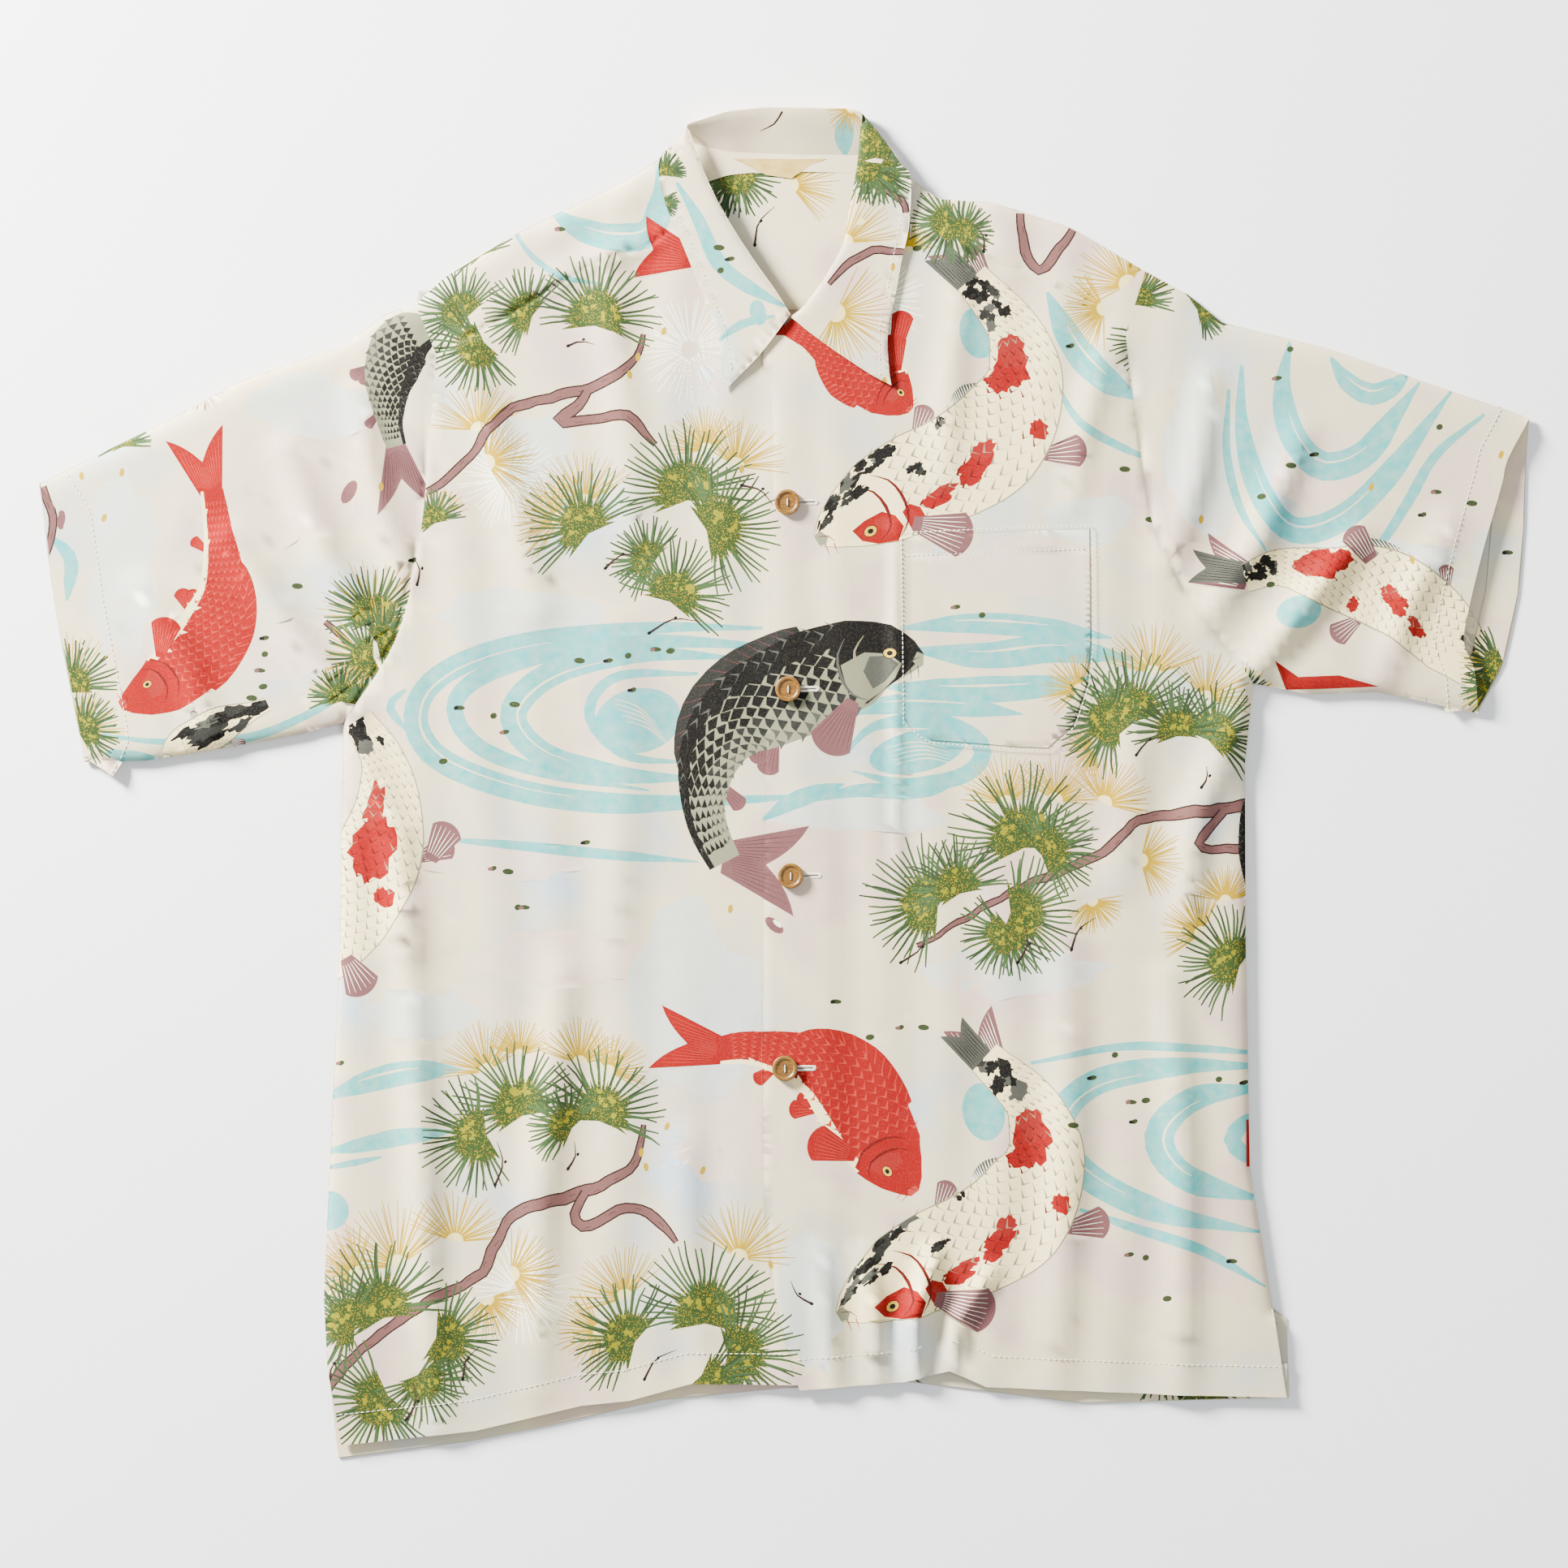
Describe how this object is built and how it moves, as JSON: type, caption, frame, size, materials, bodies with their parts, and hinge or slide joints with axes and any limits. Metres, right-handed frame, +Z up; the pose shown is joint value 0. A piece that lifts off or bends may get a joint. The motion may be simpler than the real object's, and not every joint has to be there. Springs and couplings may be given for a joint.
{
  "type": "short-sleeved shirt",
  "caption": "Short-sleeved open-collar cloth shirt, buttoned and lying flat; fronts, collar leaves and sleeves fold and the buttons twist.",
  "frame": {"origin": "middle of the shirt's outline at the level of the table it lies on", "axes": "+X to the wearer's left, +Y from hem to neck, +Z up from the back of the shirt to its front"},
  "size_m": [0.92, 0.833, 0.0114],
  "materials": {
    "printed_cloth": "matte",
    "button_wood": "satin",
    "thread": "matte",
    "label": "satin"
  },
  "bodies": {
    "shirt": {"back_panel": "printed_cloth", "back_hem": "printed_cloth", "back_yoke": "printed_cloth", "neck_label": "label", "left_shoulder_yoke": "printed_cloth", "right_shoulder_yoke": "printed_cloth", "left_shoulder_fold": "printed_cloth", "right_shoulder_fold": "printed_cloth", "left_front_panel": "printed_cloth", "right_front_panel": "printed_cloth", "left_front_hem": "printed_cloth", "right_front_hem": "printed_cloth", "left_side_seam": "printed_cloth", "right_side_seam": "printed_cloth", "left_sleeve_head": "printed_cloth", "right_sleeve_head": "printed_cloth", "chest_pocket": "printed_cloth", "pocket_hem": "printed_cloth", "pocket_turned_edge": "printed_cloth", "pocket_stitching": "thread", "collar_stand": "printed_cloth", "collar_fall": "printed_cloth"},
    "left_front": {"left_front_flap": "printed_cloth", "left_front_facing": "printed_cloth", "buttonholes": "printed_cloth"},
    "right_front": {"right_front_flap": "printed_cloth", "right_front_facing": "printed_cloth", "button_shanks": "thread"},
    "left_collar": {"left_collar_leaf": "printed_cloth", "left_undercollar": "printed_cloth"},
    "right_collar": {"right_collar_leaf": "printed_cloth", "right_undercollar": "printed_cloth"},
    "left_sleeve": {"left_sleeve_upper": "printed_cloth", "left_sleeve_under": "printed_cloth", "left_sleeve_fold_edge": "printed_cloth", "left_underarm_seam": "printed_cloth", "left_cuff_front": "printed_cloth", "left_cuff_back": "printed_cloth"},
    "right_sleeve": {"right_sleeve_upper": "printed_cloth", "right_sleeve_under": "printed_cloth", "right_sleeve_fold_edge": "printed_cloth", "right_underarm_seam": "printed_cloth", "right_cuff_front": "printed_cloth", "right_cuff_back": "printed_cloth"},
    "button_1": {"button_1": "button_wood", "button_thread_1": "thread"},
    "button_2": {"button_2": "button_wood", "button_thread_2": "thread"},
    "button_3": {"button_3": "button_wood", "button_thread_3": "thread"},
    "button_4": {"button_4": "button_wood", "button_thread_4": "thread"}
  },
  "joints": [
    {"name": "left_front_open", "type": "hinge", "parent": "shirt", "child": "left_front", "pos_m": [0.039, -0.376, 0.0083], "axis": [0.0565, 0.9984, 0], "range_deg": [0, 105], "deforming": ["buttonholes"]},
    {"name": "right_front_open", "type": "hinge", "parent": "shirt", "child": "right_front", "pos_m": [-0.052, -0.376, 0.007], "axis": [0.0372, -0.9993, 0], "range_deg": [0, 26.25]},
    {"name": "left_collar_turn", "type": "hinge", "parent": "left_front", "child": "left_collar", "pos_m": [0.004, 0.2875, 0.0096], "axis": [-0.3297, -0.9441, 0], "range_deg": [0, 60]},
    {"name": "right_collar_turn", "type": "hinge", "parent": "right_front", "child": "right_collar", "pos_m": [0.004, 0.2875, 0.0096], "axis": [-0.4723, 0.8814, 0], "range_deg": [0, 60]},
    {"name": "left_sleeve_fold", "type": "hinge", "parent": "shirt", "child": "left_sleeve", "pos_m": [0.2895, 0.062, 0.007], "axis": [0.2528, -0.9675, 0], "range_deg": [0, 120]},
    {"name": "right_sleeve_fold", "type": "hinge", "parent": "shirt", "child": "right_sleeve", "pos_m": [-0.272, 0.0375, 0.007], "axis": [0.1693, 0.9856, 0], "range_deg": [0, 120]},
    {"name": "button_1_twist", "type": "hinge", "parent": "right_front", "child": "button_1", "pos_m": [0.002, 0.1735, 0.0086], "axis": [0, 0, 1], "range_deg": [-45, 45]},
    {"name": "button_2_twist", "type": "hinge", "parent": "right_front", "child": "button_2", "pos_m": [0.0025, 0.0585, 0.0086], "axis": [0, 0, 1], "range_deg": [-45, 45]},
    {"name": "button_3_twist", "type": "hinge", "parent": "right_front", "child": "button_3", "pos_m": [0.004, -0.0565, 0.0086], "axis": [0, 0, 1], "range_deg": [-45, 45]},
    {"name": "button_4_twist", "type": "hinge", "parent": "right_front", "child": "button_4", "pos_m": [0.0005, -0.175, 0.0086], "axis": [0, 0, 1], "range_deg": [-45, 45]}
  ],
  "couplings": [
    {"joint": "right_front_open", "follows": "left_front_open", "ratio": 0.25}
  ]
}
